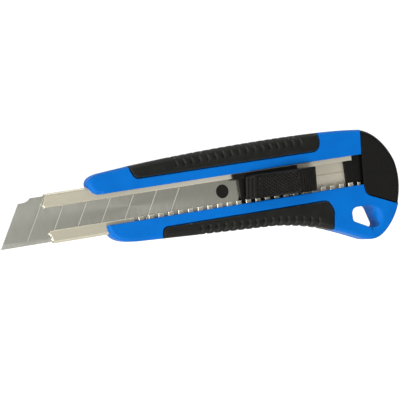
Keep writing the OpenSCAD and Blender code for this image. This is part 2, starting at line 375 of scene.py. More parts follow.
def layered(points, low, high, round_low, round_high, side):
    """Rings up an outline whose end edges are rounded. side is -1 for a solid and 1 for a hole."""
    rings = []
    ends = ((round_low, low, 1, QUARTER), (round_high, high, -1, QUARTER[::-1]))
    for radius, z, direction, turns in ends:
        radius = np.broadcast_to(radius, len(points)).astype(float)
        corner_radius = (radius + np.roll(radius, 1)) / 2
        for turn in turns if radius.max() > 0 else turns[:1]:
            moved = offset(points, side * radius * (1 - math.sin(turn)))
            heights = z + direction * corner_radius * (1 - math.cos(turn))
            rings.append(np.column_stack([moved, np.broadcast_to(heights, len(moved))]))
    return rings


def slab(name, points, low, high, round_low=0.0, round_high=0.0):
    """A plate over an outline, with rounded lower and upper edges."""
    return loft(name, layered(tidy(points), low, high, round_low, round_high, -1))


def hole(points, low, high, round_low=0.0, round_high=0.0):
    """A cutter through a plate from low to high, which leaves rounded edges at both faces."""
    rings = layered(tidy(points), low, high, round_low, round_high, 1)
    below, above = rings[0] - [0, 0, PAST], rings[-1] + [0, 0, PAST]
    return loft("cutter", [below, *rings, above])


def block(low, high):
    return slab("cutter", rectangle(low[:2], high[:2]), low[2], high[2])


def bar(name, profile, start, end, pieces=1):
    """A profile in Y and Z, drawn out along X."""
    profile = tidy(profile)
    places = np.linspace(start, end, pieces + 1)
    return loft(name, [np.column_stack([np.full(len(profile), x), profile]) for x in places])


def vee(left, right, face, depth):
    """The profile of a V groove, cut down into a face."""
    return [[left, face], [(left + right) / 2, face - depth], [right, face],
            [right, face + PAST], [left, face + PAST]]


def combine(piece, others, operation):
    """The piece joined with other closed solids, or cut by them."""
    for other in others:
        change = piece.modifiers.new("change", "BOOLEAN")
        change.operation = operation
        change.object = other
        change.solver = "MANIFOLD"
    bake(piece)
    for other in others:
        bpy.data.objects.remove(other)
    return piece


def cut(piece, *cutters):
    return combine(piece, cutters, "DIFFERENCE")


def unite(piece, *others):
    return combine(piece, others, "UNION")


def bake(piece):
    """Makes what the modifiers show the piece's own mesh."""
    seen = piece.evaluated_get(bpy.context.evaluated_depsgraph_get())
    piece.data = bpy.data.meshes.new_from_object(seen)
    piece.modifiers.clear()


def shade_evenly(piece, weight):
    """Normals that follow a piece's larger faces, the more so the higher the weight."""
    even = piece.modifiers.new("even_shading", "WEIGHTED_NORMAL")
    even.keep_sharp = True
    even.weight = weight


def finish_piece(piece, body, node, material, crease=32):
    """Metres, smooth shading up to a crease angle, the material, and the piece's place in the frame.

    body is None for a piece that is attached to no body.
    """
    mesh = piece.data
    mesh.transform(Matrix.Scale(MM, 4))
    work = bmesh.new()
    work.from_mesh(mesh)
    for face in work.faces:
        face.smooth = True
    for edge in work.edges:
        edge.smooth = edge.calc_face_angle(math.pi) < math.radians(crease)
    work.to_mesh(mesh)
    work.free()
    mesh.materials.clear()
    mesh.materials.append(material)
    shade_evenly(piece, 100)
    if body:
        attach(piece, body)
    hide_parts(node)
    return piece


def keep_node(node, material, width=0.0):
    """A CAD node that stays, with its material and, where a width is given, broken edges."""
    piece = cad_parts[node]
    piece.data.materials.clear()
    piece.data.materials.append(material)
    weld = piece.modifiers.new("weld", "WELD")
    weld.merge_threshold = 0.001 * MM
    if width:
        edges = piece.modifiers.new("edges", "BEVEL")
        edges.width = width * MM
        edges.segments = 2
        edges.angle_limit = math.radians(35)
    shade_evenly(piece, 50)


# ---- materials ----

def map_range(tree, source, low, high, start, end):
    """A number that runs from low to high as the source runs from start to end."""
    node = tree.nodes.new("ShaderNodeMapRange")
    sockets = {"From Min": start, "From Max": end, "To Min": low, "To Max": high}
    for socket, value in sockets.items():
        node.inputs[socket].default_value = value
    tree.links.new(source, node.inputs["Value"])
    return node.outputs["Result"]


def calculate(tree, operation, *sources):
    node = tree.nodes.new("ShaderNodeMath")
    node.operation = operation
    for source, socket in zip(sources, node.inputs):
        tree.links.new(source, socket)
    return node.outputs["Value"]


def mix_colours(tree, share, first, second):
    """A colour between two, each a plain colour or another node's colour."""
    node = tree.nodes.new("ShaderNodeMix")
    node.data_type = "RGBA"
    tree.links.new(share, node.inputs["Factor"])
    for index, value in ((6, first), (7, second)):
        if isinstance(value, tuple):
            node.inputs[index].default_value = (*value, 1)
        else:
            tree.links.new(value, node.inputs[index])
    return node.outputs[2]


def separate(tree, vector):
    """The three outputs, by axis name, of a vector."""
    node = tree.nodes.new("ShaderNodeSeparateXYZ")
    tree.links.new(vector, node.inputs["Vector"])
    return node.outputs


class Shader:
    """A Principled material and short ways to add procedural detail to it."""

    def __init__(self, name, **values):
        self.material = bpy.data.materials.new(name)
        self.material.use_nodes = True
        self.tree = self.material.node_tree
        self.shader = self.tree.nodes["Principled BSDF"]
        for socket, value in values.items():
            self.shader.inputs[socket.replace("_", " ")].default_value = value
        self.place = self.tree.nodes.new("ShaderNodeTexCoord").outputs["Object"]
        self.geometry = self.tree.nodes.new("ShaderNodeNewGeometry").outputs

    def noise(self, size, stretch=(1, 1, 1), detail=3.0):
        """Noise whose features are about size millimetres, longer along an axis by its stretch."""
        mapping = self.tree.nodes.new("ShaderNodeMapping")
        mapping.inputs["Scale"].default_value = [1 / s for s in stretch]
        texture = self.tree.nodes.new("ShaderNodeTexNoise")
        texture.inputs["Scale"].default_value = 1 / (size * MM)
        texture.inputs["Detail"].default_value = detail
        self.tree.links.new(self.place, mapping.inputs["Vector"])
        self.tree.links.new(mapping.outputs["Vector"], texture.inputs["Vector"])
        return texture.outputs["Fac"]

    def spread(self, source, low, high, start=0.3, end=0.7):
        return map_range(self.tree, source, low, high, start, end)

    def times(self, a, b):
        return calculate(self.tree, "MULTIPLY", a, b)

    def mix(self, share, first, second):
        return mix_colours(self.tree, share, first, second)

    def edges(self, start, end):
        """1 on raised edges, 0 elsewhere."""
        return self.spread(self.geometry["Pointiness"], 0, 1, start, end)

    def facing_up(self, start, end):
        """1 where the surface faces up or down, 0 on its sides."""
        slope = calculate(self.tree, "ABSOLUTE", separate(self.tree, self.geometry["Normal"])["Z"])
        return self.spread(slope, 0, 1, start, end)

    def further_back(self, start, end):
        """0 in front of one place along X and 1 behind another, in millimetres."""
        return self.spread(separate(self.tree, self.place)["X"], 0, 1, start * MM, end * MM)

    def bump(self, height, depth):
        """Small relief of a depth in millimetres."""
        node = self.tree.nodes.new("ShaderNodeBump")
        node.inputs["Distance"].default_value = depth * MM
        self.tree.links.new(height, node.inputs["Height"])
        self.use(node.outputs["Normal"], "Normal")

    def use(self, source, socket):
        self.tree.links.new(source, self.shader.inputs[socket])


def blue_plastic():
    """Glossy moulded plastic with a faint spark-eroded grain."""
    look = Shader("blue_plastic", Specular_IOR_Level=0.06)
    cloudy = look.spread(look.noise(9, detail=2), 0, 1)
    look.use(look.mix(cloudy, (0.0, 0.074, 0.290), (0.0, 0.086, 0.330)), "Base Color")
    look.use(look.spread(look.noise(0.8), 0.40, 0.50), "Roughness")
    look.bump(look.noise(0.16), 0.012)
    return look.material


def soft_grip():
    """Dark thermoplastic rubber: matt and finely grained, greyer on its raised rib crests, partly from
    rubbing and partly as a painted highlight.
    """
    look = Shader("soft_grip", Specular_IOR_Level=0.10)
    cloudy = look.spread(look.noise(4), 0, 1)
    body = look.mix(cloudy, (0.0046, 0.0047, 0.0040), (0.0074, 0.0074, 0.0064))
    # Painted highlight mixed with rubbing wear: the raised crests get a lighter grey colour.
    wear_and_highlight = look.times(look.edges(0.51, 0.60), look.spread(look.noise(0.9), 0.3, 1.0))
    look.use(look.mix(wear_and_highlight, body, (0.062, 0.061, 0.055)), "Base Color")
    look.use(look.spread(look.noise(0.7), 0.42, 0.58), "Roughness")
    look.bump(look.noise(0.12), 0.02)
    return look.material


def cap_plastic():
    """Black plastic: a textured face inside a smoother rim, with painted shade that makes the rounded
    rim darker.
    """
    look = Shader("cap_plastic", Specular_IOR_Level=0.07)
    face = look.facing_up(0.9, 0.995)
    grain = look.spread(look.noise(0.5), 0, 1)
    matt = look.mix(grain, (0.0036, 0.0036, 0.0031), (0.0058, 0.0057, 0.0050))
    # Painted shade: the rounded rim, where the surface turns from facing up, gets a darker colour than
    # the face.
    look.use(look.mix(face, (0.0015, 0.0015, 0.0015), matt), "Base Color")
    look.use(look.spread(face, 0.28, 0.55, 0, 1), "Roughness")
    look.bump(look.noise(0.14), 0.02)
    return look.material


def slider_plastic(name, ridge_wear_and_highlight, shine):
    """Black moulded plastic, with its ridges greyer by a share, partly from rubbing and partly as a
    painted highlight.
    """
    look = Shader(name, Specular_IOR_Level=shine)
    cloudy = look.spread(look.noise(2.5), 0, 1)
    body = look.mix(cloudy, (0.0035, 0.0034, 0.0028), (0.0056, 0.0054, 0.0046))
    # Painted highlight mixed with rubbing wear: the raised ridges get a lighter grey colour.
    wear_and_highlight = look.times(look.edges(0.56, 0.67), look.spread(look.noise(0.8), 0.2 * ridge_wear_and_highlight, ridge_wear_and_highlight))
    look.use(look.mix(wear_and_highlight, body, (0.12, 0.12, 0.11)), "Base Color")
    look.use(look.spread(look.noise(0.6), 0.30, 0.42), "Roughness")
    look.bump(look.noise(0.1), 0.01)
    return look.material


def steel(name, dark, light, roughness, grain=0.12, depth=0.004, stretch=(40, 1, 1), metal=1.0):
    """Rolled or ground steel, with its grain along the stretched axis."""
    look = Shader(name, Metallic=metal, Anisotropic=0.35)
    streaks = look.spread(look.noise(grain, stretch, 4), 0, 1)
    cloudy = look.spread(look.noise(7, (2, 1, 1)), 0, 1)
    body = look.mix(look.times(streaks, cloudy), dark, light)
    look.use(body, "Base Color")
    look.use(look.spread(streaks, *roughness, 0, 1), "Roughness")
    look.bump(streaks, depth)
    return look, body


def channel_steel():
    """Satin sheet steel with painted shade: its colour is darker at the channel's front end and grows
    lighter towards its middle.
    """
    look, body = steel("channel_steel", (0.39, 0.37, 0.292), (0.43, 0.405, 0.325), (0.20, 0.27),
                       depth=0.0012, metal=0.5)
    # Painted shade and light: darker colour from the front end, blending to a lighter colour from X -20
    # back.
    look.use(look.mix(look.further_back(-62, -20), body, (0.49, 0.465, 0.385)), "Base Color")
    return look.material


def blade_steel():
    """Bright steel, ground across the blade."""
    look, _ = steel("blade_steel", (0.58, 0.585, 0.53), (0.62, 0.62, 0.565), (0.2, 0.26),
                    grain=0.25, depth=0.001, stretch=(1, 25, 1))
    return look.material


def spring_steel():
    look, _ = steel("spring_steel", (0.45, 0.44, 0.42), (0.6, 0.59, 0.56), (0.2, 0.32))
    return look.material


def screw_steel():
    look, _ = steel("screw_steel", (0.35, 0.35, 0.35), (0.55, 0.55, 0.54), (0.25, 0.4),
                    grain=0.2, depth=0.003, stretch=(1, 1, 1))
    return look.material


MATERIALS = {
    "blue": blue_plastic(),
    "grip": soft_grip(),
    "cap": cap_plastic(),
    "button": slider_plastic("button_plastic", 1.0, 0.08),
    "carriage": slider_plastic("carriage_plastic", 0.0, 0.15),
    "channel": channel_steel(),
    "blade": blade_steel(),
    "spring": spring_steel(),
    "screw": screw_steel(),
}


# ---- handle ----

FRONT_EDGE_R, BACK_EDGE_R = 1.5, 1.2
PARTING_EDGE_R = 0.12
SEAM_EDGE_R = 0.4
SLOT_EDGE_R = 0.45
LANYARD_FRONT_R, LANYARD_BACK_R = 0.4, 0.6
GRIP_ROOM = 0.38
GRIP_LIP_R = 0.4
SCREW_ROOM = 0.1
SCREW_ACCESS_R = SCREW_HEAD_R + 0.5
SCREW_BORE_TOP_Z = SCREW_HIGH[2] + 0.4
SCREW_SEAT_Z = 1.6


def seam_edges(points, reach):
    """Which of an outline's edges lie along the seam between the shells and the end cap."""
    middle = (points + np.roll(points, -1, 0)) / 2
    return distance_to(middle, seam_down) < reach


def shell_radius(points, full):
    """Edge radius round a shell: full on the outside, small along the end cap's seam."""
    return np.where(seam_edges(points, 0.3), SEAM_EDGE_R, full)


def grip_ends(edge, outer):
    """The two points where a grip's edge runs out over the outline."""
    beyond = np.abs(edge[:, 1]) > np.abs(height_at(outer, edge[:, 0]))
    tries = np.linspace(0, 1, 400)[:, None]
    ends = []
    for i in range(len(edge)):
        if beyond[i - 1] != beyond[i]:
            line = edge[i - 1] + (edge[i] - edge[i - 1]) * tries
            miss = np.abs(line[:, 1] - height_at(outer, line[:, 0]))
            ends.append(line[miss.argmin()])
    return sorted(ends, key=lambda end: end[0])


def grip_recesses(edge, side, outer, front):
    """Cutters for a soft grip: its layer in the face, and its skirt down the outer edge."""
    wide = offset(tidy(edge), GRIP_ROOM)
    outer = by_x(outer)
    line = between(outer, *grip_ends(edge, outer)) - [0, side * GRIP_DEPTH]
    line[0, 0] -= GRIP_ROOM
    line[-1, 0] += GRIP_ROOM
    far = side * BEYOND_Y
    skirt = np.vstack([line, [[line[-1, 0], far], [line[0, 0], far]]])
    if front:
        layer = hole(wide, GRIP_FLOOR_Z + PAST, FACE_Z, 0, GRIP_LIP_R)
        return [layer, slab("cutter", skirt, PARTING_Z - PAST, GRIP_FLOOR_Z + 0.1)]
    layer = hole(wide, 0, GRIP_DEPTH - PAST, GRIP_LIP_R, 0)
    return [layer, slab("cutter", skirt, GRIP_DEPTH - 0.1, PARTING_Z + PAST)]


def front_shell():
    """The front half: two arms beside the slot, a dished lanyard hole and half of the spigot."""
    points = tidy(front_outline)
    radius = shell_radius(points, FRONT_EDGE_R)
    shell = slab("front_shell_visual", points, PARTING_Z, FACE_Z, PARTING_EDGE_R, radius)
    unite(shell, block([SPIGOT_ROOT_X, SPIGOT_Y[0], PARTING_Z], [SPIGOT_X, SPIGOT_Y[1], SPIGOT_Z[1]]))

    dish = tidy(circle(*DISH_CENTRE, DISH_R - DISH_FLARE, 72))
    opens = step(edge_normals(dish)[:, 0], -0.4, 0.0)
    flare = DISH_FLARE * (LEAST_FLARE + (1 - LEAST_FLARE) * opens)
    bottom = PARTING_Z - PAST
    slot = rectangle([BEYOND_X, SLOT_LOW_Y], [SLOT_END_X, SLOT_HIGH_Y])
    cut(
        shell,
        hole(slot, bottom, FACE_Z, 0, SLOT_EDGE_R),
        block([BEYOND_X, -POCKET_Y, bottom], [POCKET_END_X, POCKET_Y, ARM_Z]),
        block([PASSAGE_X[0], -MAGAZINE_Y, bottom], [PASSAGE_X[1], MAGAZINE_Y, PASSAGE_Z[1]]),
        hole(lanyard_hole, bottom, FACE_Z, 0, LANYARD_FRONT_R),
        hole(dish, FACE_Z - DISH_FLARE - PAST, FACE_Z, 0, flare),
        *grip_recesses(upper_grip_edge, 1, spine, True),
        *grip_recesses(lower_grip_edge, -1, belly, True),
        *[hole(circle(x, y, SCREW_R), bottom, SCREW_BORE_TOP_Z) for x, y in SCREWS],
    )
    finish_piece(shell, "handle", "front_shell", MATERIALS["blue"])


def back_shell():
    """The back half: the magazine, the screws' bores and the other half of the spigot."""
    points = tidy(back_outline)
    radius = shell_radius(points, BACK_EDGE_R)
    shell = slab("back_shell_visual", points, 0, PARTING_Z, radius, PARTING_EDGE_R)
    unite(shell, block([SPIGOT_ROOT_X, SPIGOT_Y[0], SPIGOT_Z[0]], [SPIGOT_X, SPIGOT_Y[1], PARTING_Z]))
    top = PARTING_Z + PAST
    cut(
        shell,
        block([MAGAZINE_X, -MAGAZINE_Y, MAGAZINE_Z], [POCKET_END_X, MAGAZINE_Y, top]),
        block([PASSAGE_X[0], -MAGAZINE_Y, PASSAGE_Z[0]], [PASSAGE_X[1], MAGAZINE_Y, top]),
        hole(lanyard_hole, 0, top, LANYARD_BACK_R, 0),
        *grip_recesses(upper_grip_edge, 1, spine, False),
        *grip_recesses(lower_grip_edge, -1, belly, False),
        *[hole(circle(x, y, SCREW_R + SCREW_ROOM), -PAST, top) for x, y in SCREWS],
        *[hole(circle(x, y, SCREW_HEAD_R + SCREW_ROOM), -PAST, SCREW_SEAT_Z) for x, y in SCREWS],
    )
    finish_piece(shell, "handle", "back_shell", MATERIALS["blue"])


RIB_PITCH = 3.52
RIB_DEPTH = 0.9
RIB_WALL_LEAN = 0.46
ROW_FADE = 1.5
FACE_EDGE_R, SHOULDER_R = 0.45, 2.1
FOOT_GAP = 0.06


def fingers(x, z, inwards, span, reach, lean, phase, edge_share):
    """Relief of a row of raised fingers that start on the outer wall and lean back as they run in.

    inwards is the distance in from the outline, span is the row's two ends along x, and edge_share
    is how deep the valleys are on the wall, as a share of their depth on the face.
    """
    shift = phase + lean * np.sin(np.clip(inwards / reach, 0, 1) * math.pi / 2)
    shift = shift + RIB_WALL_LEAN * np.clip(GRIP_Z - SHOULDER_R - z, 0, None)
    across = 2 * saw((x - shift) / RIB_PITCH)
    crest = np.sqrt(1 - across**3)
    start, end = span
    row = step(x, start, start + ROW_FADE) * (1 - step(x, end - ROW_FADE, end))
    deeper = edge_share + (1.1 - edge_share) * step(inwards, 0, 0.8 * reach)
    fade = 1 - step(inwards, reach - 0.35, reach + 0.2)
    return RIB_DEPTH * row * deeper * fade * (crest - 1)


def soft_grip_piece(node, edge, outer, side, front, **ribs):
    """One soft grip: a face layer, a rounded shoulder and a skirt, with the finger ribs moulded in.

    Stations run along the grip, and each is a closed ring across it.
    """
    stations, across_count, wall_count = 420, 34, 12
    up = 1 if front else -1
    top = GRIP_Z if front else 0.0
    floor = GRIP_FLOOR_Z if front else GRIP_DEPTH
    foot = PARTING_Z + up * FOOT_GAP
    outer = by_x(outer)
    first, last = grip_ends(edge, outer)
    inner = edge[np.abs(edge[:, 1]) < np.abs(height_at(outer, edge[:, 0]))]
    inner = inner if inner[0, 0] < inner[-1, 0] else inner[::-1]
    inner = np.vstack([first, inner, last])
    rim_line = between(outer, first, last)

    inside = along(inner, stations)
    rim_x = 0.85 * inside[:, 0] + 0.15 * np.linspace(first[0], last[0], stations)
    rim = np.column_stack([rim_x, height_at(rim_line, rim_x)])
    share = 0.5 - 0.5 * np.cos(np.pi * np.linspace(0, 1, across_count))
    flat = inside[:, None] + (rim - inside)[:, None] * share[None, :, None]
    inwards = distance_to(flat, rim_line)
    drop = fall(distance_to(flat, inner), FACE_EDGE_R) + fall(inwards, SHOULDER_R)
    surface = np.dstack([flat, top - up * drop])

    shoulder_z = surface[:, -1:, 2]
    wall_z = shoulder_z + (foot - shoulder_z) * np.linspace(0, 1, wall_count + 1)[1:]
    wall = np.dstack([np.repeat(rim[:, None], wall_count, 1), wall_z])
    surface = np.concatenate([surface, wall], 1)
    inwards = np.concatenate([inwards, -np.abs(wall_z - shoulder_z)], 1)

    normal = np.cross(np.gradient(surface, axis=0), np.gradient(surface, axis=1))
    normal /= np.linalg.norm(normal, axis=2, keepdims=True) + 1e-9
    outwards = np.sign((normal[..., 2] * up + normal[..., 1] * side).mean())
    relief = fingers(surface[..., 0], surface[..., 2], inwards, **ribs)
    surface = surface + outwards * normal * relief[..., None]

    width = np.linalg.norm(rim - inside, axis=1)
    inset = np.minimum(GRIP_DEPTH, 0.8 * width)[:, None]
    under = rim + (inside - rim) / np.maximum(width, 1e-6)[:, None] * inset
    ring_ends = [
        np.dstack([line[:, None], np.full((stations, 1), z)])
        for line, z in ((under, foot), (under, floor), (inside, floor))
    ]
    rings = np.concatenate([surface, *ring_ends], 1)
    grip = loft(node + "_visual", list(rings[1:-1]))
    if not front:
        cut(grip, *[hole(circle(x, y, SCREW_ACCESS_R), -PAST, PARTING_Z + PAST) for x, y in SCREWS])
    finish_piece(grip, "handle", node, MATERIALS["grip"], 50)


def grips():
    """An upper and a lower grip on each face."""
    for face, front in (("front", True), ("back", False)):
        soft_grip_piece(f"{face}_upper_grip", upper_grip_edge, spine, 1, front,
                        span=(-31, 30), reach=4.3, lean=1.7, phase=2.2, edge_share=0.3)
        soft_grip_piece(f"{face}_lower_grip", lower_grip_edge, belly, -1, front,
                        span=(-24, 33), reach=3.4, lean=1.2, phase=2.6, edge_share=0.75)


def shell_screws():
    """Cross-head screws, put in from the back."""
    sink, head_height, cross_depth = SCREW_LOW[2], 1.3, 0.7
    cross_long, cross_wide = 1.25, 0.22
    screws = []
    for x, y in SCREWS:
        screw = slab("screw", circle(x, y, SCREW_HEAD_R, 48), sink, sink + head_height, 0.35, 0)
        shank = slab("shank", circle(x, y, SCREW_R - 0.02), sink + PAST, SCREW_HIGH[2], 0, 0.3)
        unite(screw, shank)
        cross = []
        for a, b in ((cross_long, cross_wide), (cross_wide, cross_long)):
            recess = rounded(rectangle([x - a, y - b], [x + a, y + b]), 0.1, 3)
            cross.append(hole(recess, sink - PAST, sink + cross_depth))
        cut(screw, *cross)
        screws.append(screw)
    mesh = bmesh.new()
    for screw in screws:
        mesh.from_mesh(screw.data)
    mesh.to_mesh(screws[0].data)
    mesh.free()
    for screw in screws[1:]:
        bpy.data.objects.remove(screw)
    screws[0].name = "shell_screws_visual"
    finish_piece(screws[0], "handle", "shell_screws", MATERIALS["screw"])


def channel_profile():
    """The folded sheet's section, with its bent corners and rounded lips."""
    floor, top, out, inner = FLOOR_Z, LIP_TOP_Z, CHANNEL_OUT, CHANNEL_IN
    tip, bend, inner_bend, shoulder = 0.26, 0.8, 0.3, 0.5
    roll, roll_drop = 1.0, 0.26
    corners = [
        ([LIP_LOW_Y, top], tip),
        ([roll - out, top], shoulder),
        ([-out, top - roll_drop], bend),
        ([-out, floor], bend),
        ([out, floor], bend),
        ([out, top - roll_drop], bend),
        ([out - roll, top], shoulder),
        ([LIP_HIGH_Y, top], tip),
        ([LIP_HIGH_Y, top - SHEET_T], tip),
        ([inner, top - SHEET_T], inner_bend),
        ([inner, floor + SHEET_T], inner_bend),
        ([-inner, floor + SHEET_T], inner_bend),
        ([-inner, top - SHEET_T], inner_bend),
        ([LIP_LOW_Y, top - SHEET_T], tip),
    ]
    points, radii = zip(*corners)
    return rounded(points, radii, 6)


def blade_channel():
    """The folded steel sheet that guides the blade, with a shaped front and a notched lower lip."""
    floor, top = FLOOR_Z, LIP_TOP_Z
    channel = bar("blade_channel_visual", channel_profile(), CHANNEL_LOW[0] - 3, CHANNEL_HIGH[0])
    front = rounded(
        [[-95, -12], [-84.1, -9.75], [-85.1, -6.6], [-85.9, -5.6], [-85.2, -4.6], [-85.2, 4.2],
         [-86, 4.3], [-86.8, 5.6], [-84.9, 9.8], [-95, 12]],
        [0.1, 0.3, 0.8, 0.5, 0.4, 0.4, 0.5, 0.8, 0.3, 0.1],
        4,
    )
    rear = rectangle([50.5, LIP_LOW_Y - 0.4], [60, 12])
    notch_low_y, notch_high_y = LIP_LOW_Y - 1.7, LIP_LOW_Y + PAST
    notches = []
    for x in FIRST_NOTCH_X + NOTCH_PITCH * np.arange(NOTCHES):
        notch = rounded(rectangle([x, notch_low_y], [x + NOTCH_WIDTH, notch_high_y]), 0.35, 4)
        notches.append(hole(notch, top - SHEET_T - 0.4, top, 0, NOTCH_FLARE))
    score_width, score_depth = 0.7, 0.4
    score = bar("cutter", vee(0, score_width, floor + SHEET_T, score_depth),
                CHANNEL_LOW[0] + 20, PLUG_LOW[0] + PAST)
    cut(channel, hole(front, floor, top, 0, 0.2), hole(rear, floor, top, 0, 0.15), score, *notches)
    finish_piece(channel, "handle", "blade_channel", MATERIALS["channel"])


def end_cap():
    """The end cap: hollow for the shells' spigot, with a plug that closes the back of the channel."""
    points = tidy(cap_outline)
    at_seam = seam_edges(points, 0.05)
    points = offset(points, np.where(at_seam, -CAP_GAP, 0))
    seam_r, back_r, front_r = 0.35, 1.3, 2.2
    cap = slab("end_cap_visual", points, 0, FACE_Z,
               np.where(at_seam, seam_r, back_r), np.where(at_seam, seam_r, front_r))
    cut(cap, block([0, SPIGOT_Y[0] - CAP_GAP, SPIGOT_Z[0] - CAP_GAP],
                   [SPIGOT_X + CAP_GAP, SPIGOT_Y[1] + CAP_GAP, SPIGOT_Z[1] + CAP_GAP]))
    unite(cap, slab("plug", rectangle(PLUG_LOW[:2], PLUG_HIGH[:2]), PLUG_LOW[2], PLUG_HIGH[2], 0.2, 0.3))
    finish_piece(cap, "cap", "end_cap", MATERIALS["cap"])


# ---- slider ----

EDGE_LENGTH = 100.0
EDGE_LEAN = math.radians(30)
CLIP_DEPTH = 1.5
GROUND_WIDTH = 1.9
EDGE_HALF_T = 0.02
SEGMENT, SNAP_LINES = 10, 7
SNAP_HALF_WIDTH, SNAP_DEPTH = 0.32, 0.12
PEG_X, PEG_R = -9.76, 2.75


def blade():
    """The snap-off blade: ground edge, snap lines, bitten front corner and peg hole."""
    (tip_x, edge_y, back_z), (high_x, high_y, face_z) = BLADE_LOW, BLADE_HIGH
    width, lean = high_y - edge_y, math.tan(EDGE_LEAN)
    shoulder = width - CLIP_DEPTH
    bite_end = [shoulder * lean, shoulder]
    shape = np.vstack([
        [[0, 0], [EDGE_LENGTH, 0], [EDGE_LENGTH + width * lean, width]],
        curve([14.6, width], [13.6, width - 1.3], [12, shoulder], bite_end, 12),
        [bite_end],
    ])
    piece = slab("blade_visual", shape + [tip_x, edge_y], back_z, face_z, 0.02, 0.02)

    middle_z = (back_z + face_z) / 2
    start_y, end_y = edge_y - PAST, edge_y + GROUND_WIDTH
    ground = []
    for up, face in ((1, face_z), (-1, back_z)):
        wedge = [[start_y, middle_z], [edge_y, middle_z + up * EDGE_HALF_T], [end_y, face],
                 [end_y, face + up], [start_y, face + up]]
        ground.append(bar("cutter", wedge, tip_x - 5, high_x + 5))

    turn = Matrix.Rotation(math.pi / 2 - EDGE_LEAN, 4, "Z")
    lines = []
    for i in range(1, SNAP_LINES + 1):
        notch = vee(-SNAP_HALF_WIDTH, SNAP_HALF_WIDTH, face_z + 0.02, SNAP_DEPTH + 0.02)
        line = bar("cutter", notch, -2, 30)
        line.data.transform(Matrix.Translation((tip_x + SEGMENT * i, edge_y, 0)) @ turn)
        lines.append(line)
    peg = hole(circle(PEG_X, 0, PEG_R, 48), back_z, face_z, 0.03, 0.03)
    cut(piece, *ground, *lines, peg)
    finish_piece(piece, "slider", "blade", MATERIALS["blade"], 8)


def lock_spring():
    """The leaf that carries the lock's tooth."""
    low, high = SPRING_LOW, SPRING_HIGH
    half_width, thickness = 1.4, 0.3
    tooth_x, tooth_width, tooth_length, arm_end_y = 19.82, 1.4, 0.8, 1.0
    leaf_profile = rounded(rectangle([-half_width, low[2]], [half_width, low[2] + thickness]), 0.06, 2)
    leaf = bar("lock_spring_visual", leaf_profile, low[0], high[0], 60)
    arm = slab("arm", rectangle([tooth_x, low[1]], [tooth_x + tooth_width, arm_end_y]),
               low[2] + 0.01, low[2] + thickness - 0.01)
    tooth = slab("tooth", rectangle([tooth_x, low[1]], [tooth_x + tooth_width, low[1] + tooth_length]),
                 low[2], high[2], 0.05, 0.12)
    unite(leaf, arm, tooth)
    finish_piece(leaf, None, "lock_spring", MATERIALS["spring"])
    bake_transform(leaf)


BUTTON_BASE_Z = 9.4
BUTTON_ENDS_X = (0, 30)
BUTTON_LOW_Y, BUTTON_HIGH_Y = (-4.75, -5.5), (4.8, 4.35)
FRAME_WIDTH = 0.75
FRONT_SLANT, FRONT_LEAD, REAR_SLANT = 1.3, 1.6, 0.75
FRONT_BARS, FRONT_BAR_WIDTH, FRONT_BAR_DEPTH = (1.35, 3.1), 0.85, 0.6
KNURL_START_X, KNURL_END_X = 3.9, 21.3
KNURL_PITCH, KNURL_SLOPE, KNURL_WIDTH, KNURL_DEPTH = 1.55, 1.15, 0.62, 0.34
RIBS_START_X, RIBS_END_X = 22.1, 27.9
REAR_RIB_PITCH, REAR_RIB_WIDTH, REAR_RIB_DEPTH = 1.25, 0.6, 0.38
ZONE_FADE = 0.3


def button_profile():
    """The button's side view from its front foot over the crest to its rear foot, evenly spaced."""
    foot, rear, crest = BUTTON_LOW[0], BUTTON_HIGH[0], BUTTON_HIGH[2]
    over = path(
        (1.5, 11.6),
        ((2.3, 12.9), (2.8, 13.1), (4.6, 12.95), 9),
        ((9.5, 12.5), (13.5, 13.9), (20, crest), 24),
        ((24, crest - 0.2), (28.2, 13.6), (rear - 0.3, 12.5), 18),
    )
    down = [[rear - 0.3, 12.5], [rear, 12.0], [rear, BUTTON_BASE_Z]]
    return along(np.vstack([[[foot, BUTTON_BASE_Z]], over, down]), 330)


def button_relief(arc, x, y, rim):
    """How far the button's top is raised: framed front grooves, a diamond knurl and rear ribs."""
    field = step(rim, FRAME_WIDTH, FRAME_WIDTH + 0.2)
    bars = sum(groove(arc - place, FRONT_BAR_WIDTH) for place in FRONT_BARS)
    relief = -FRONT_BAR_DEPTH * field * bars
    zone = field * step(x, KNURL_START_X, KNURL_START_X + ZONE_FADE)
    zone = zone * (1 - step(x, KNURL_END_X - ZONE_FADE, KNURL_END_X))
    lines = [
        groove(KNURL_PITCH * saw((x + sign * y * KNURL_SLOPE) / KNURL_PITCH), KNURL_WIDTH)
        for sign in (-1, 1)
    ]
    relief -= KNURL_DEPTH * zone * np.maximum(*lines)
    relief -= 0.4 * field * groove(x - RIBS_START_X, 0.55)
    zone = field * step(x, RIBS_START_X + 0.5, RIBS_START_X + 0.5 + ZONE_FADE)
    zone = zone * (1 - step(x, RIBS_END_X - ZONE_FADE, RIBS_END_X))
    ribs = groove(REAR_RIB_PITCH * saw((x - RIBS_START_X) / REAR_RIB_PITCH), REAR_RIB_WIDTH)
    relief -= REAR_RIB_DEPTH * zone * ribs
    return relief - fall(rim, 0.55)


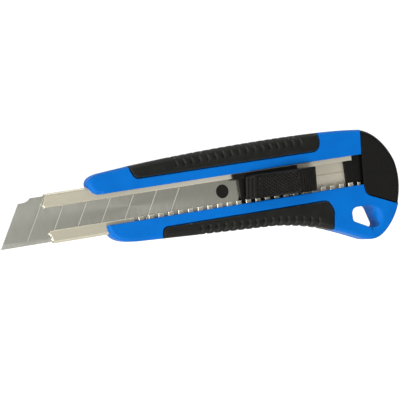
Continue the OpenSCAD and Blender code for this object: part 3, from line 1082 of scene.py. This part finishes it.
def thumb_button():
    """The thumb button, lofted along its side view from crosswise rings, with its stem."""
    line = button_profile()
    x, z = line.T[:, :, None]
    tangent = np.gradient(line, axis=0)
    tangent /= np.linalg.norm(tangent, axis=1)[:, None]
    normal_x, normal_z = -tangent[:, 1:], tangent[:, :1]
    low_y = np.interp(x, BUTTON_ENDS_X, BUTTON_LOW_Y)
    high_y = np.interp(x, BUTTON_ENDS_X, BUTTON_HIGH_Y)
    even = np.linspace(0, 1, 92)
    y = low_y + (high_y - low_y) * (0.35 * (0.5 - 0.5 * np.cos(np.pi * even)) + 0.65 * even)
    relief = button_relief(lengths(line)[:, None], x, y, np.minimum(y - low_y, high_y - y))

    top_z = np.maximum(z + normal_z * relief, BUTTON_BASE_Z)
    top = np.dstack([x + normal_x * relief, y, top_z])
    base = np.full_like(x, BUTTON_BASE_Z)
    feet = [np.dstack([x, side, base]) for side in (high_y, low_y)]
    rings = np.concatenate([top, *feet], 1)
    across = (rings[..., 1] - low_y) / (high_y - low_y)
    rings[..., 0] += REAR_SLANT * across * step(x, 18, 29.8)
    rings[..., 0] += (FRONT_SLANT * across - FRONT_LEAD) * (1 - step(x, 4, 14))
    button = loft("thumb_button_visual", list(rings))
    unite(button, slab("stem", rectangle([15, -1.5], [18, 1.5]), BUTTON_LOW[2], 12))
    finish_piece(button, "button", "thumb_button", MATERIALS["button"], 60)


# ---- camera, floor and lights ----

def camera():
    """The camera looks down on the front face, turned a little towards the blade's tip."""
    yaw, pitch, roll = -24.902, -1.798, -8.225
    target = Vector((-21, 0, 6)) * MM
    aside = Vector((1.137, -1.859, 834.8)) * MM
    turn = (Matrix.Rotation(math.radians(yaw), 3, "Y") @ Matrix.Rotation(math.radians(pitch), 3, "X")
            @ Matrix.Rotation(math.radians(roll), 3, "Z"))
    data = bpy.data.cameras.new("camera")
    data.lens = 188.4
    data.sensor_width = 36
    view = bpy.data.objects.new("camera", data)
    view.location = target + turn @ aside
    view.rotation_euler = turn.to_euler()
    bpy.context.scene.collection.objects.link(view)
    bpy.context.scene.camera = view


def floor():
    """A plain white table just under the knife."""
    look = Shader("floor", Base_Color=(0.12, 0.12, 0.12, 1), Roughness=0.9, Specular_IOR_Level=0,
                  Emission_Color=(1, 1, 1, 1), Emission_Strength=1.0)
    mesh = bpy.data.meshes.new("floor")
    corners = np.pad(rectangle([-3, -3], [3, 3]), ((0, 0), (0, 1)))
    mesh.from_pydata(corners.tolist(), [], [[0, 1, 2, 3]])
    mesh.materials.append(look.material)
    table = bpy.data.objects.new("floor", mesh)
    table.location.z = cad_box[0].z - 0.2 * MM
    bpy.context.scene.collection.objects.link(table)


def soft_light(name, place, size, power):
    """A round area light aimed at the knife. Its place and size are in metres."""
    data = bpy.data.lights.new(name, "AREA")
    data.shape = "DISK"
    data.size = size
    data.energy = power
    lamp = bpy.data.objects.new(name, data)
    lamp.location = place
    lamp.rotation_euler = (-Vector(place)).to_track_quat("-Z", "Y").to_euler()
    bpy.context.scene.collection.objects.link(lamp)


def tent():
    """A white tent round the knife, brighter on the left, with a dark part high behind the spine.

    It grows dimmer overhead and dimmer and warmer to the right.
    """
    world = bpy.data.worlds.new("studio")
    world.use_nodes = True
    tree = world.node_tree
    back = tree.nodes["Background"]
    direction = separate(tree, tree.nodes.new("ShaderNodeTexCoord").outputs["Generated"])
    overhead = map_range(tree, direction["Z"], 1.0, 0.46, 0.1, 0.95)
    right = map_range(tree, direction["X"], 1.15, 0.52, 0.25, 0.5)
    left = map_range(tree, direction["X"], 1.55, 1.0, -0.2, 0.2)
    dark_parts = (("Y", 0.3, 0.42), ("Z", 0.25, 0.4), ("X", 0.0, 0.15))
    behind, high, aside = (map_range(tree, direction[axis], 1.0, 0.12, start, end)
                           for axis, start, end in dark_parts)
    dark = calculate(tree, "MAXIMUM", calculate(tree, "MAXIMUM", behind, high), aside)
    strength = calculate(tree, "MULTIPLY", calculate(tree, "MULTIPLY", overhead, right), left)
    tree.links.new(calculate(tree, "MULTIPLY", strength, dark), back.inputs["Strength"])
    warmth = map_range(tree, direction["X"], 0, 1, 0.4, 0.5)
    colour = mix_colours(tree, warmth, (1, 0.985, 0.945), (1, 0.93, 0.81))
    tree.links.new(colour, back.inputs["Color"])
    bpy.context.scene.world = world


def lights():
    """The tent, and three large soft lights."""
    tent()
    soft_light("key", (-0.12, -0.5, 0.88), 0.5, 10)
    soft_light("rim", (0.35, 0.9, 0.3), 1.2, 9)
    soft_light("side", (-0.92, -0.1, 0.4), 0.8, 10)
    bpy.context.scene.view_settings.view_transform = "Standard"


camera()
floor()
lights()

front_shell()
back_shell()
grips()
shell_screws()
blade_channel()
end_cap()
blade()
lock_spring()
thumb_button()
keep_node("slider_carriage", MATERIALS["carriage"], 0.12)
keep_node("magazine_spring", MATERIALS["spring"])
keep_node("upper_spare_blade", MATERIALS["blade"])
keep_node("lower_spare_blade", MATERIALS["blade"])
